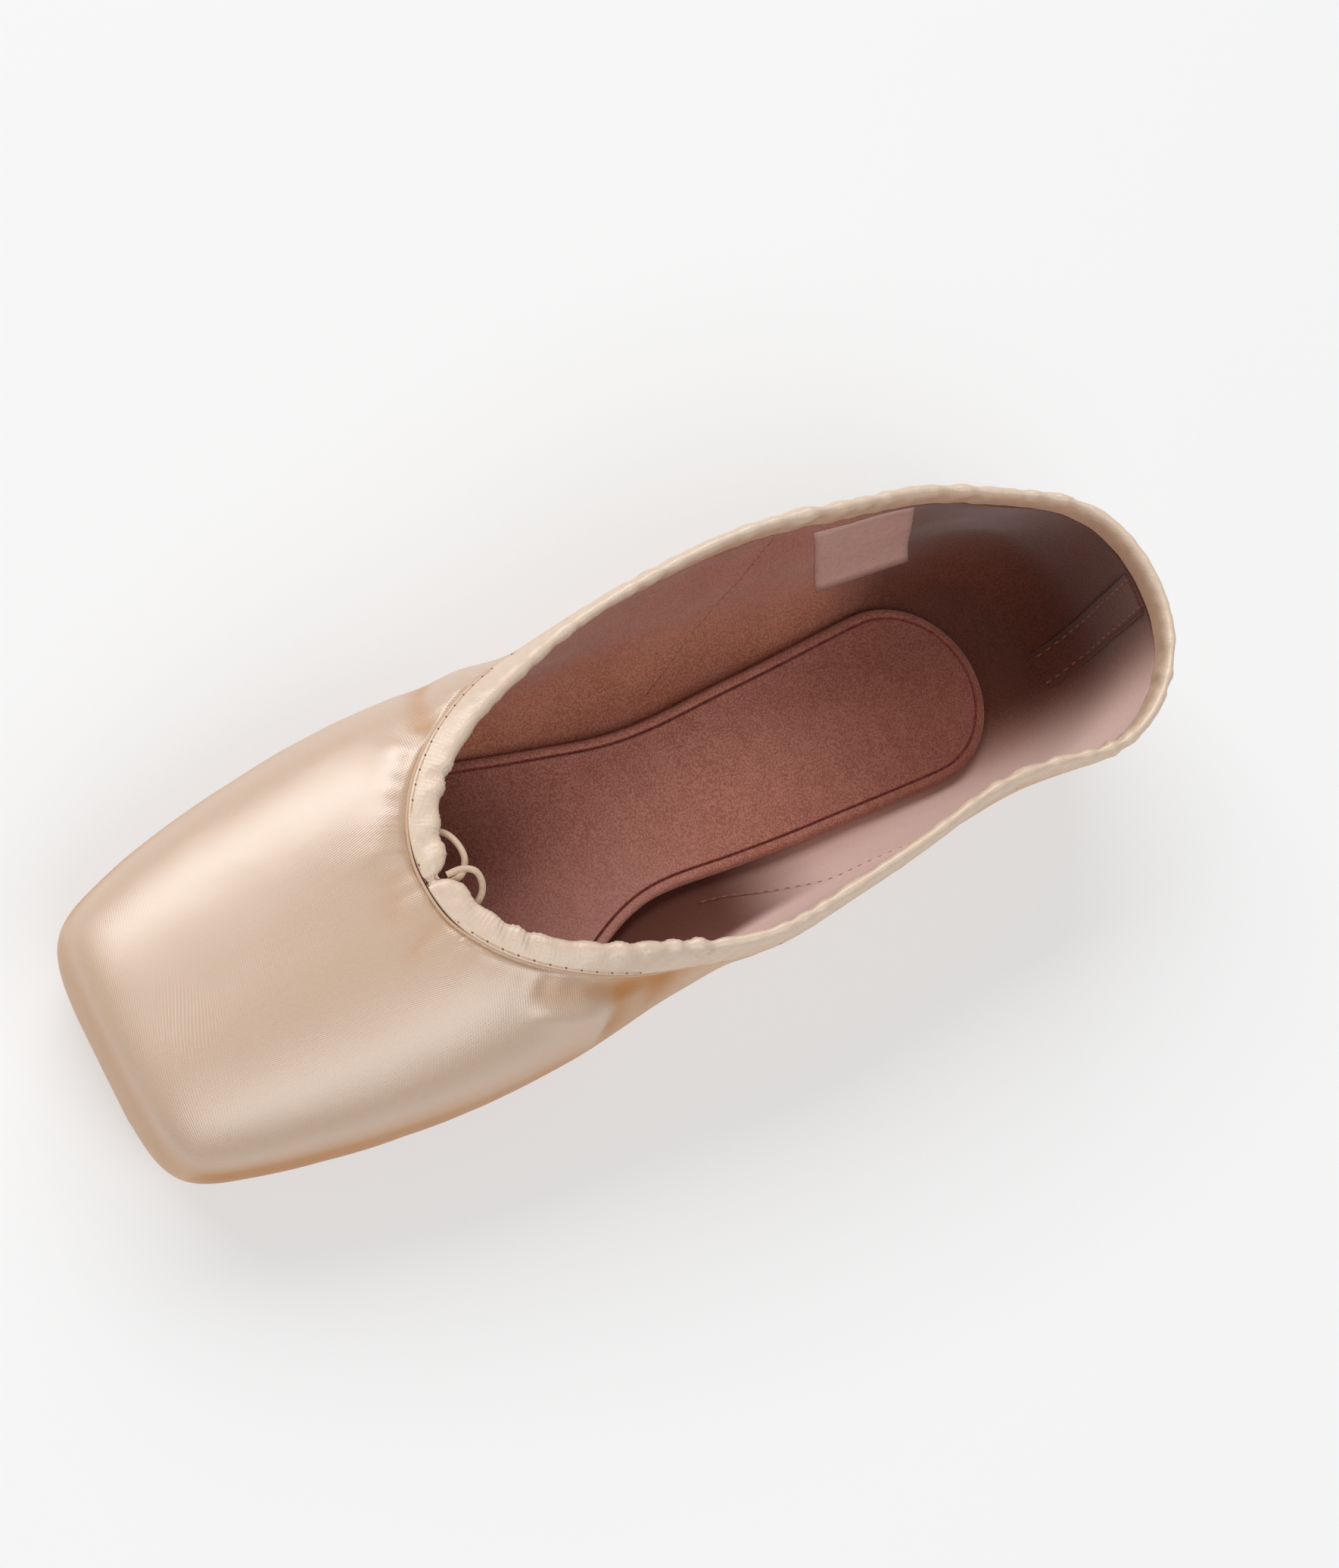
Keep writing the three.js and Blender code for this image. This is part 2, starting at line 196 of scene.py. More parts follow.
def twisted_thread(name, colour, lay):
    """Cotton or polyester thread: fine strands at a slant, a little darker between them as painted
    shade.
    """
    material, tree, shader = new_finish(name)
    place = tree.nodes.new("ShaderNodeTexCoord")
    strands = tree.nodes.new("ShaderNodeTexWave")
    strands.wave_type = "BANDS"
    strands.bands_direction = "DIAGONAL"
    strands.inputs["Scale"].default_value = 0.5 / lay
    strands.inputs["Distortion"].default_value = 1.5
    strands.inputs["Detail"].default_value = 1.0
    tree.links.new(place.outputs["Object"], strands.inputs["Vector"])
    tint = tree.nodes.new("ShaderNodeMix")
    tint.data_type = "RGBA"
    tint.inputs["A"].default_value = (*[STRAND_GAP_PAINTED_SHADE * c for c in colour], 1)
    tint.inputs["B"].default_value = (*colour, 1)
    tree.links.new(strands.outputs["Fac"], tint.inputs["Factor"])
    tree.links.new(tint.outputs["Result"], shader.inputs["Base Color"])
    relief = tree.nodes.new("ShaderNodeBump")
    relief.inputs["Strength"].default_value = 0.3
    relief.inputs["Distance"].default_value = lay * 0.2
    tree.links.new(strands.outputs["Fac"], relief.inputs["Height"])
    tree.links.new(relief.outputs["Normal"], shader.inputs["Normal"])
    shader.inputs["Roughness"].default_value = 0.75
    shader.inputs["Sheen Weight"].default_value = 0.2
    return material


cotton_cord = twisted_thread("cotton_cord", colour=(0.68, 0.49, 0.345), lay=0.00035)

for side, offsets in (("left", LEFT_END), ("right", RIGHT_END)):
    route = smooth_route([THROAT + Vector(p) * MM for p in offsets], 3)
    line = bpy.data.curves.new("cord_end_" + side, "CURVE")
    line.dimensions = "3D"
    line.bevel_depth = CORD_DIAMETER / 2
    line.bevel_resolution = 4
    line.resolution_u = 6
    line.use_fill_caps = True
    spline = line.splines.new("BEZIER")
    spline.bezier_points.add(len(route) - 1)
    for knot, point in zip(spline.bezier_points, route):
        knot.co = point
        knot.handle_left_type = "AUTO"
        knot.handle_right_type = "AUTO"
    line.materials.append(cotton_cord)
    cord_end = bpy.data.objects.new("cord_end_" + side, line)
    scene.collection.objects.link(cord_end)
    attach(cord_end, "root")
    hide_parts("drawstring_" + side)


# ---- Outsole ------------------------------------------------------------------------------
# One slim piece of split leather, cut rough side down, glued and sewn over the pleats under
# the shoe. Its edge is pared a little, and the thread runs in a channel cut along it.

OUTSOLE_PARING = 0.0005
SOLE_SHARP = 0.9
CHANNEL_INSET = 0.0028
CHANNEL_SINK = 0.0002
SOLE_SPINE_BACK = -0.08
SOLE_SPINE_FRONT = 0.06
WELD_REACH = 0.00002


def welded_copy(node):
    """A welded copy of one of the frame's solids, its triangles joined to quads again."""
    shape = bmesh.new()
    shape.from_mesh(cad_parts[node].data)
    bmesh.ops.remove_doubles(shape, verts=shape.verts, dist=WELD_REACH)
    bmesh.ops.join_triangles(
        shape,
        faces=shape.faces,
        cmp_seam=False,
        cmp_sharp=False,
        cmp_uvs=False,
        cmp_vcols=False,
        cmp_materials=False,
        angle_face_threshold=2.2,
        angle_shape_threshold=3.1,
    )
    return shape


def from_the_toe(ring):
    """The same closed ring, started on the middle line in front and run to the wearer's left."""
    start = min(range(len(ring)), key=lambda i: (ring[i].x < 0, round(abs(ring[i].y), 6), ring[i].y))
    ring = ring[start:] + ring[:start]
    if ring[1].y < ring[-1].y:
        ring = [ring[0], *reversed(ring[1:])]
    return ring


def sharp_rings(shape, angle):
    """The closed rings of edges that are folded by more than an angle, longest first."""
    left = {e for e in shape.edges if e.calc_face_angle(0) > angle}
    rings = []
    while left:
        edge = left.pop()
        ring = [edge.verts[0], edge.verts[1]]
        going = True
        while going:
            going = False
            for step in ring[-1].link_edges:
                if step in left:
                    left.discard(step)
                    ring.append(step.other_vert(ring[-1]))
                    going = True
                    break
        if ring[0] == ring[-1]:
            rings.append(from_the_toe([v.co.copy() for v in ring[:-1]]))
    return sorted(rings, key=lambda r: -sum((a - b).length for a, b in zip(r, [*r[1:], r[0]])))


def crease_sharp_edges(shape, angle):
    """Keeps the edges folded by more than an angle crisp when the shape is refined."""
    crease = shape.edges.layers.float.new("crease_edge")
    for edge in shape.edges:
        if edge.calc_face_angle(0) > angle:
            edge[crease] = 1.0


def refined(shape, levels):
    """The same surface after so many rounds of subdivision."""
    mesh = bpy.data.meshes.new("cage")
    shape.to_mesh(mesh)
    shape.free()
    cage = bpy.data.objects.new("cage", mesh)
    scene.collection.objects.link(cage)
    smoothing = cage.modifiers.new("smoothing", "SUBSURF")
    smoothing.levels = levels
    smoothing.render_levels = levels
    result = bmesh.new()
    result.from_object(cage, bpy.context.evaluated_depsgraph_get())
    bpy.data.objects.remove(cage)
    bpy.data.meshes.remove(mesh)
    return result


def finished_piece(name, shape, materials, replaced=()):
    """Makes the shape a smooth object that rides on the shoe."""
    mesh = bpy.data.meshes.new(name)
    shape.normal_update()
    shape.to_mesh(mesh)
    shape.free()
    mesh.shade_smooth()
    for material in materials:
        mesh.materials.append(material)
    piece = bpy.data.objects.new(name, mesh)
    scene.collection.objects.link(piece)
    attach(piece, "root")
    if replaced:
        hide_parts(*replaced)
    return piece


def nap_group():
    """Raised fibres of suede: a fine grain, a mottle from stroking, and their height."""
    group = bpy.data.node_groups.new("suede_nap", "ShaderNodeTree")
    group.interface.new_socket("Vector", in_out="INPUT", socket_type="NodeSocketVector")
    group.interface.new_socket("Grain", in_out="INPUT", socket_type="NodeSocketFloat")
    group.interface.new_socket("Stroke", in_out="INPUT", socket_type="NodeSocketFloat")
    group.interface.new_socket("Height", in_out="OUTPUT", socket_type="NodeSocketFloat")
    group.interface.new_socket("Mottle", in_out="OUTPUT", socket_type="NodeSocketFloat")
    given = group.nodes.new("NodeGroupInput")
    made = group.nodes.new("NodeGroupOutput")
    fibres = group.nodes.new("ShaderNodeTexNoise")
    fibres.inputs["Detail"].default_value = 1.5
    fibres.inputs["Roughness"].default_value = 0.5
    strokes = group.nodes.new("ShaderNodeTexNoise")
    strokes.inputs["Detail"].default_value = 2.0
    both = group.nodes.new("ShaderNodeMath")
    both.operation = "MULTIPLY_ADD"
    both.inputs[1].default_value = 0.18
    lifted = group.nodes.new("ShaderNodeMath")
    lifted.operation = "MULTIPLY"
    lifted.inputs[1].default_value = 0.82
    link = group.links.new
    link(given.outputs["Vector"], fibres.inputs["Vector"])
    link(given.outputs["Vector"], strokes.inputs["Vector"])
    link(given.outputs["Grain"], fibres.inputs["Scale"])
    link(given.outputs["Stroke"], strokes.inputs["Scale"])
    link(fibres.outputs["Fac"], lifted.inputs[0])
    link(strokes.outputs["Fac"], both.inputs[0])
    link(lifted.outputs["Value"], both.inputs[2])
    link(fibres.outputs["Fac"], made.inputs["Height"])
    link(both.outputs["Value"], made.inputs["Mottle"])
    return group


suede_nap = nap_group()


def suede(name, dark, light, grain, stroke, stretch=(1, 1, 1), relief=0.00012, fuzz=0.35, painted_light_and_shade=()):
    """Suede between a dark and a light shade, with light and shade painted over it in places.

    Each painted patch is a tint, its blend and strength, and the ranges along the axes it grows over."""
    material, tree, shader = new_finish(name)
    place = tree.nodes.new("ShaderNodeTexCoord")
    parts = tree.nodes.new("ShaderNodeSeparateXYZ")
    turned = tree.nodes.new("ShaderNodeMapping")
    turned.inputs["Scale"].default_value = stretch
    nap = tree.nodes.new("ShaderNodeGroup")
    nap.node_tree = suede_nap
    nap.inputs["Grain"].default_value = grain
    nap.inputs["Stroke"].default_value = stroke
    ramp = tree.nodes.new("ShaderNodeValToRGB")
    ramp.color_ramp.elements[0].position = 0.40
    ramp.color_ramp.elements[0].color = (*dark, 1)
    ramp.color_ramp.elements[1].position = 0.60
    ramp.color_ramp.elements[1].color = (*light, 1)
    bump = tree.nodes.new("ShaderNodeBump")
    bump.inputs["Strength"].default_value = 0.7
    bump.inputs["Distance"].default_value = relief
    link = tree.links.new
    link(place.outputs["Object"], turned.inputs["Vector"])
    link(turned.outputs["Vector"], nap.inputs["Vector"])
    link(nap.outputs["Mottle"], ramp.inputs["Fac"])
    link(place.outputs["Object"], parts.inputs["Vector"])
    colour = ramp.outputs["Color"]
    for tint, blend, strength, ranges in painted_light_and_shade:
        layer = tree.nodes.new("ShaderNodeMix")
        layer.data_type = "RGBA"
        layer.blend_type = blend
        layer.inputs["B"].default_value = (*tint, 1)
        amount = None
        for axis, start, end in ranges:
            grows = tree.nodes.new("ShaderNodeMapRange")
            grows.interpolation_type = "SMOOTHSTEP"
            grows.inputs["From Min"].default_value = start
            grows.inputs["From Max"].default_value = end
            link(parts.outputs[axis], grows.inputs["Value"])
            grows.inputs["To Max"].default_value = strength
            if amount is not None:
                link(amount, grows.inputs["To Max"])
            amount = grows.outputs["Result"]
        link(amount, layer.inputs["Factor"])
        link(colour, layer.inputs["A"])
        colour = layer.outputs["Result"]
    link(colour, shader.inputs["Base Color"])
    link(nap.outputs["Height"], bump.inputs["Height"])
    link(bump.outputs["Normal"], shader.inputs["Normal"])
    shader.inputs["Roughness"].default_value = 0.92
    shader.inputs["Specular IOR Level"].default_value = 0.2
    shader.inputs["Sheen Weight"].default_value = fuzz
    shader.inputs["Sheen Roughness"].default_value = 0.5
    shader.inputs["Sheen Tint"].default_value = (1.0, 0.9, 0.86, 1)
    return material


def stitches(name, route, normals, spacing, length, width, material, closed=False, first=0.5):
    """A row of separate thread stitches along a route, each a small rounded bar."""
    bar = bmesh.new()
    bmesh.ops.create_uvsphere(bar, u_segments=8, v_segments=5, radius=1)
    pattern = bpy.data.meshes.new("stitch")
    bar.to_mesh(pattern)
    bar.free()
    row = bmesh.new()
    path = [*route, route[0]] if closed else list(route)
    ups = [*normals, normals[0]] if closed else list(normals)
    run = 0.0
    due = spacing * first
    for i in range(1, len(path)):
        step = (path[i] - path[i - 1]).length
        while step > 0 and run + step >= due:
            share = (due - run) / step
            place = path[i - 1].lerp(path[i], share)
            along = (path[i] - path[i - 1]).normalized()
            up = ups[i - 1].lerp(ups[i], share)
            side = up.cross(along).normalized()
            up = along.cross(side)
            turn = Matrix((along, side, up)).transposed().to_4x4()
            size = Matrix.Diagonal((length / 2, width / 2, width * 0.4, 1))
            stitch = pattern.copy()
            stitch.transform(Matrix.Translation(place) @ turn @ size)
            row.from_mesh(stitch)
            bpy.data.meshes.remove(stitch)
            due += spacing
        run += step
    bpy.data.meshes.remove(pattern)
    return finished_piece(name, row, [material])


def laid_on(tree, points, proud):
    """The points moved on to a surface and lifted by so much, and the normals there."""
    places = []
    normals = []
    for point in points:
        place, normal, _, _ = tree.find_nearest(point)
        places.append(place + normal * proud)
        normals.append(normal)
    return places, normals


sole_shape = welded_copy("outsole")
sole_rings = sharp_rings(sole_shape, SOLE_SHARP)
bmesh.ops.bevel(
    sole_shape,
    geom=[e for e in sole_shape.edges if e.calc_face_angle(0) > SOLE_SHARP],
    offset=OUTSOLE_PARING,
    affect="EDGES",
    segments=2,
    profile=0.5,
    material=-1,
)
sole_leather = suede(
    "split_leather",
    dark=(0.30, 0.175, 0.115),
    light=(0.42, 0.26, 0.17),
    grain=1800,
    stroke=130,
)
sole_shape = refined(sole_shape, 2)
sole_tree = BVHTree.FromBMesh(sole_shape)
finished_piece("outsole_leather", sole_shape, [sole_leather], ["outsole"])

# The thread lies sunk in the tread, just inside its outline.
red_thread = twisted_thread("red_thread", colour=(0.30, 0.065, 0.05), lay=0.0004)
tread = min(sole_rings, key=lambda ring: sum(p.z for p in ring) / len(ring))
channel = []
for i, point in enumerate(tread):
    along = (tread[(i + 1) % len(tread)] - tread[i - 1]).normalized()
    inward = Vector((-along.y, along.x, 0))
    spine = Vector((min(max(point.x, SOLE_SPINE_BACK), SOLE_SPINE_FRONT), 0, 0))
    if inward.dot(spine - point) < 0:
        inward = -inward
    channel.append(point + inward * CHANNEL_INSET - Vector((0, 0, 0.002)))
channel, channel_normals = laid_on(sole_tree, channel, -CHANNEL_SINK)
stitches(
    "outsole_channel_thread",
    channel,
    channel_normals,
    spacing=0.0042,
    length=0.0033,
    width=0.0006,
    material=red_thread,
    closed=True,
)


# ---- Insole -------------------------------------------------------------------------------
# The inner sole is a board covered with brushed suede. A shallow groove with a dark red seam
# runs just inside its rounded edge. The board is pared on the left of the ball, and it draws
# in underneath where it meets the box.

INSOLE_THICKNESS = 0.0026
UNDER_GAP = 0.0003
INSOLE_SHARP = 0.9
PARING = 0.0021
PARING_PLACE = 0.006
PARING_REACH = 0.018
EDGE_ROUNDING = 0.0008
GROOVE_INSET = 0.0023
GROOVE_WIDTH = 0.0006
GROOVE_DEPTH = 0.0004
INSOLE_TUCK = 0.0035
TUCK_FROM = -0.005
TUCK_TO = 0.028
SLICE_FROM = -0.089
SLICE_STEP = 0.004
SLICES = 46

board_rings = sharp_rings(welded_copy("insole"), INSOLE_SHARP)
board_outline = max(board_rings, key=lambda ring: sum(p.z for p in ring) / len(ring))
heights = sorted((p.x, p.z) for p in board_outline)


def board_height(x):
    """Height of the insole's top over the floor at a place along the shoe."""
    if x <= heights[0][0]:
        return heights[0][1]
    for (x0, z0), (x1, z1) in zip(heights, heights[1:]):
        if x <= x1:
            return z0 + (z1 - z0) * (x - x0) / max(x1 - x0, 1e-9)
    return heights[-1][1]


def ease(value, low, high):
    """Rises smoothly from nothing at the low value to one at the high value."""
    share = min(max((value - low) / (high - low), 0), 1)
    return share * share * (3 - 2 * share)


def bell(offset, reach):
    """One at the middle, and fading to nothing on both sides."""
    return math.exp(-((offset / reach) ** 2))


board = bmesh.new()
corners = []
for p in smooth_route([*board_outline, board_outline[0]], 3)[:-1]:
    pared = PARING * bell(p.x - PARING_PLACE, PARING_REACH) if p.y > 0 else 0
    corners.append(board.verts.new((p.x, p.y - pared, 0)))
top = board.faces.new(corners)
top.normal_update()
if top.normal.z < 0:
    top.normal_flip()
for width, depth in ((0.0003, 0.0005), (0.0005, 0.0003)):
    bmesh.ops.inset_region(board, faces=[top], thickness=width, use_boundary=True, use_even_offset=True)
    for vert in top.verts:
        vert.co.z += depth
for vert in board.verts:
    vert.co.z -= EDGE_ROUNDING
for width, depth, in_groove in (
    (GROOVE_INSET - GROOVE_WIDTH / 2 - EDGE_ROUNDING, 0.0, False),
    (GROOVE_WIDTH * 0.3, -GROOVE_DEPTH, True),
    (GROOVE_WIDTH * 0.4, 0.0, True),
    (GROOVE_WIDTH * 0.3, GROOVE_DEPTH, True),
    (0.0004, 0.0, False),
):
    made = bmesh.ops.inset_region(board, faces=[top], thickness=width, use_even_offset=True)
    for vert in top.verts:
        vert.co.z += depth
    if in_groove:
        for face in made["faces"]:
            face.material_index = 1
for i in range(SLICES):
    bmesh.ops.bisect_plane(
        board,
        geom=[*board.verts, *board.edges, *board.faces],
        dist=1e-6,
        plane_co=(SLICE_FROM + i * SLICE_STEP, 0, 0),
        plane_no=(1, 0, 0),
    )
rim_edges = [e for e in board.edges if e.is_boundary]
skirt = bmesh.ops.extrude_edge_only(board, edges=rim_edges)
lowered = [g for g in skirt["geom"] if isinstance(g, bmesh.types.BMVert)]
for vert in lowered:
    tuck = INSOLE_TUCK * ease(vert.co.x, TUCK_FROM, TUCK_TO)
    from_middle = max(abs(vert.co.y) - tuck, min(abs(vert.co.y), 0.0005))
    vert.co.y = math.copysign(from_middle, vert.co.y)
    vert.co.z = -INSOLE_THICKNESS + UNDER_GAP
bottom_edges = [e for e in board.edges if e.is_boundary]
bmesh.ops.triangle_fill(board, edges=bottom_edges, use_beauty=True)
for vert in board.verts:
    vert.co.z += board_height(vert.co.x)
bmesh.ops.recalc_face_normals(board, faces=board.faces)
insole_suede = suede(
    "insole_suede",
    dark=(0.33, 0.115, 0.08),
    light=(0.50, 0.215, 0.16),
    grain=3100,
    stroke=260,
    stretch=(1, 0.75, 1),
    relief=0.0004,
    fuzz=0.3,
    painted_light_and_shade=[
        # Painted light on the left towards the toe, painted shade towards the heel, and painted shadow
        # at the right of the toe under the vamp.
        ((0.70, 0.40, 0.35), "MIX", 0.9, [("Y", -0.012, 0.055), ("X", -0.03, 0.02)]),
        ((0.62, 0.54, 0.50), "MULTIPLY", 1.0, [("X", -0.03, -0.08)]),
        ((0.50, 0.42, 0.40), "MULTIPLY", 1.0, [("X", 0.000, 0.036), ("Y", 0.010, -0.010)]),
    ],
)
groove_red = suede(
    "groove_red",
    dark=(0.15, 0.028, 0.02),
    light=(0.25, 0.06, 0.045),
    grain=1500,
    stroke=300,
)
finished_piece("insole_board", board, [insole_suede, groove_red], ["insole"])


# ---- Upper --------------------------------------------------------------------------------
# Peach satin is drawn over layers of pasted cloth that make the hard box, and over cotton and
# a brushed lining behind it. Under the toe the spare satin is gathered in sewn pleats.

UPPER_SHARP = 1.1
BINDING_SHARP = 1.3
SATIN_THREAD = 0.0005
ROW_SLANT = 0.45
FLOAT_SLANT = -0.62
PLEAT_CENTRE = 0.04
PLEAT_ANGLE = math.radians(9)
PLEAT_HEIGHT = 0.0005
SEAM_STEP = 0.001
SEAM_DIP = 0.0003
GATHER_PITCH = 0.0052
GATHER_DEPTH = 0.00018
GATHERED_WITHIN = 0.014
# The depth of a fold at which its painted shade is full.
FULL_PAINTED_SHADE_DEPTH = 0.0015

# The upper gives more and more between these heights over the floor.
STIFF_BELOW = 0.012
SOFT_ABOVE = 0.042

# The right corner of the box is pressed in: the place, how far round it, and the push.
CORNER_X = 0.119
CORNER_Y = -0.026
CORNER_REACH = 0.020
CORNER_BACK = 0.0004
CORNER_IN = 0.0012

# Where the rim swings out or in: place along the shoe, side, half length, and how far out.
RIM_BULGES = [
    (-0.084, -1, 0.017, 0.0029),
    (-0.117, -1, 0.009, -0.0016),
    (-0.088, 1, 0.012, 0.0016),
    (-0.056, 1, 0.012, -0.0011),
    (-0.004, 1, 0.012, 0.0013),
]

# Folds of the satin in millimetres: troughs have a height under zero, ridges over it.
FOLDS = [
    {"start": (34, -38, 33), "end": (42, -28, 45), "width": 2.6, "height": -0.9},
    {"start": (24, -37, 33), "end": (33, -30, 43), "width": 5.0, "height": 0.7},
    {"start": (50, -25, 45), "end": (61, -9, 46.5), "width": 3.6, "height": 0.75},
    {"start": (61, -6, 46), "end": (65, 3, 45.5), "width": 2.4, "height": -0.3},
    {"start": (58, 7, 46.5), "end": (65, 10, 45.0), "width": 1.8, "height": -0.3},
    {"start": (45, 28, 44.5), "end": (36, 31.5, 43.5), "width": 2.8, "height": -0.7},
    {"start": (47, 31, 42.5), "end": (39, 35, 39.5), "width": 2.6, "height": 0.7},
    {"start": (32, 33, 42), "end": (18, 35.5, 38.5), "width": 3.4, "height": -1.0},
    {"start": (30, 35, 38.5), "end": (31, 38, 31), "width": 3.8, "height": -1.0},
    {"start": (35, 36, 38), "end": (37, 39, 27), "width": 3.6, "height": 0.45},
    {"start": (20, 37, 34), "end": (8, 37.5, 30), "width": 6.0, "height": -1.2},
    {"start": (-4, -38, 24), "end": (10, -37, 16), "width": 4.0, "height": -0.6},
    {"start": (-16, -37, 28), "end": (-6, -37, 12), "width": 5.0, "height": 0.5},
    {"start": (-4, 38, 25), "end": (6, 37, 14), "width": 4.0, "height": -0.6},
    {"start": (-24, 37, 30), "end": (-10, 36, 12), "width": 4.5, "height": -0.6},
    {"start": (-32, -36, 30), "end": (-26, -35, 12), "width": 4.5, "height": -0.5},
    {"start": (-90, 31, 30), "end": (-74, 32, 14), "width": 5.0, "height": -0.5},
    {"start": (-92, -27, 28), "end": (-78, -31, 14), "width": 5.0, "height": -0.5},
]


def from_segment(point, start, end):
    """Distance of a point from a segment, fading to nothing beyond both ends."""
    line = end - start
    along = (point - start).dot(line) / line.length_squared
    near = start + line * min(max(along, 0), 1)
    return (point - near).length


def faces_inside(face):
    """Does a face of the upper look into the shoe?"""
    middle = face.calc_center_median()
    axis = Vector((min(max(middle.x, -0.085), 0.098), 0, 0.022))
    return face.normal.dot(middle - axis) < 0


def tree_of_faces(shape, index):
    """A search tree of the faces that have one material."""
    shape.verts.index_update()
    corners = [v.co.copy() for v in shape.verts]
    faces = [[v.index for v in f.verts] for f in shape.faces if f.material_index == index]
    return BVHTree.FromPolygons(corners, faces)


def even_ring(ring, spacing):
    """A closed ring again in even steps."""
    closed = [*ring, ring[0]]
    count = round(route_length(closed) / spacing)
    step = route_length(closed) / count
    result = []
    run = 0.0
    due = 0.0
    for a, b in zip(closed, closed[1:]):
        length = (b - a).length
        while due < run + length and len(result) < count:
            result.append(a.lerp(b, (due - run) / length))
            due += step
        run += length
    return result


def drawn(point):
    """Where a point of the soft upper goes: the rim and the box have lost their even lines."""
    soft = ease(point.z, STIFF_BELOW, SOFT_ABOVE)
    pressed = bell(Vector((point.x - CORNER_X, point.y - CORNER_Y)).length, CORNER_REACH)
    result = point.copy()
    for x, side, reach, out in RIM_BULGES:
        if point.y * side > 0:
            result.y += side * out * soft * bell(point.x - x, reach)
    result.x -= CORNER_BACK * pressed
    result.y += CORNER_IN * pressed
    return result


def folds_at(point):
    """How far the folds move the satin at a point: out of the shoe, or in if under zero."""
    move = 0.0
    for fold in FOLDS:
        away_by = from_segment(point * 1000, Vector(fold["start"]), Vector(fold["end"]))
        if away_by < 3 * fold["width"]:
            move += fold["height"] * MM * bell(away_by, fold["width"])
    return move


def painted_fold_shade_at(point, normal, folds):
    """How much painted shade the vamp takes: down in a fold, and low on its sides."""
    low = (1 - ease(point.z, 0.018, 0.034)) * (1 - ease(normal.z, 0.0, 0.5))
    low *= 1 - ease(normal.x, 0.3, 0.75)
    folded_in = max(-folds / FULL_PAINTED_SHADE_DEPTH, 0) * ease(point.x, 0.008, 0.022)
    return min(folded_in + low * ease(point.x, 0.0, 0.04), 1)


def gathers_at(point, place, distance):
    """How far the satin moves near the binding's seam, which dips a little and gathers it."""
    wave = math.sin(2 * math.pi * place * SEAM_STEP / GATHER_PITCH + 2.5 * noise.noise(point * 90))
    reach = 0.0035 + 0.002 * noise.noise(Vector((place * 0.13, 0, 0)))
    gather = GATHER_DEPTH * wave * math.exp(-distance / reach) * ease(distance, 0, 0.0012)
    return gather - SEAM_DIP * bell(distance, 0.0035) * ease(point.x, 0.0, 0.03)


def pleats_at(point):
    """How far the pleats under the toe stand out, each a step in a fan round one centre."""
    turn = math.atan2(point.y, point.x - PLEAT_CENTRE)
    share = (turn / PLEAT_ANGLE) % 1.0
    pleat = share ** 1.6 if point.y > 0 else (1 - share) ** 1.6
    return PLEAT_HEIGHT * pleat * (1 - ease(point.z, 0.0045, 0.011)) * ease(point.x, 0.02, 0.05)


def unevenness(point, broad, broad_waves, fine, fine_waves):
    """Cloth pasted by hand lies a little uneven, in broad and in fine waves."""
    return broad * noise.noise(point * broad_waves) + fine * noise.noise(point * fine_waves)


binding_cage = welded_copy("collar_binding")
for vert in binding_cage.verts:
    vert.co = drawn(vert.co)
binding_corners = sharp_rings(binding_cage, BINDING_SHARP)
outer_corner = max(binding_corners[:2], key=lambda ring: max(p.y for p in ring))
seam = even_ring(outer_corner, SEAM_STEP)
seam_places = KDTree(len(seam))
for i, point in enumerate(seam):
    seam_places.insert(point, i)
seam_places.balance()

upper_shape = welded_copy("upper")
for vert in upper_shape.verts:
    vert.co = drawn(vert.co)
upper_shape.normal_update()
for face in upper_shape.faces:
    face.material_index = 1 if faces_inside(face) else 0
crease_sharp_edges(upper_shape, UPPER_SHARP)
upper_shape = refined(upper_shape, 2)
upper_shape.normal_update()
painted_fold_amount = upper_shape.verts.layers.float.new("painted_fold_amount")
outer_verts = [v for v in upper_shape.verts if all(f.material_index == 0 for f in v.link_faces)]
inner_verts = [v for v in upper_shape.verts if all(f.material_index == 1 for f in v.link_faces)]
moves = {}
for vert in outer_verts:
    point = vert.co
    move = folds_at(point)
    # Painted shade for the satin's colour: down in the folds and low on the vamp's sides.
    vert[painted_fold_amount] = painted_fold_shade_at(point, vert.normal, move)
    _, place, distance = seam_places.find(point)
    if distance < GATHERED_WITHIN:
        move += gathers_at(point, place, distance)
    move += pleats_at(point)
    move += unevenness(point, 0.00018, 45, 0.00007, 130)
    moves[vert] = vert.normal * move
for vert in inner_verts:
    moves[vert] = vert.normal * unevenness(vert.co, 0.00035, 55, 0.00012, 160)
for vert, move in moves.items():
    vert.co += move


def cloth_place(point):
    """Where a point of the shoe lies on the flat satin: along it, and across it over the foot."""
    turned = point.y / math.hypot(point.y, 0.012)
    across = point.y + turned * (0.047 - point.z)
    along = point.x + (0.03 - point.z) * (ease(point.x, 0.1, 0.117) - ease(-point.x, 0.1, 0.117))
    return along, across


cloth = upper_shape.loops.layers.uv.new("cloth")
for face in upper_shape.faces:
    for loop in face.loops:
        loop[cloth].uv = cloth_place(loop.vert.co)


def calculate(tree, operation, *values):
    """A Math node on sockets or numbers, and its output."""
    node = tree.nodes.new("ShaderNodeMath")
    node.operation = operation
    for socket, value in zip(node.inputs, values):
        if isinstance(value, (int, float)):
            socket.default_value = value
        else:
            tree.links.new(value, socket)
    return node.outputs["Value"]


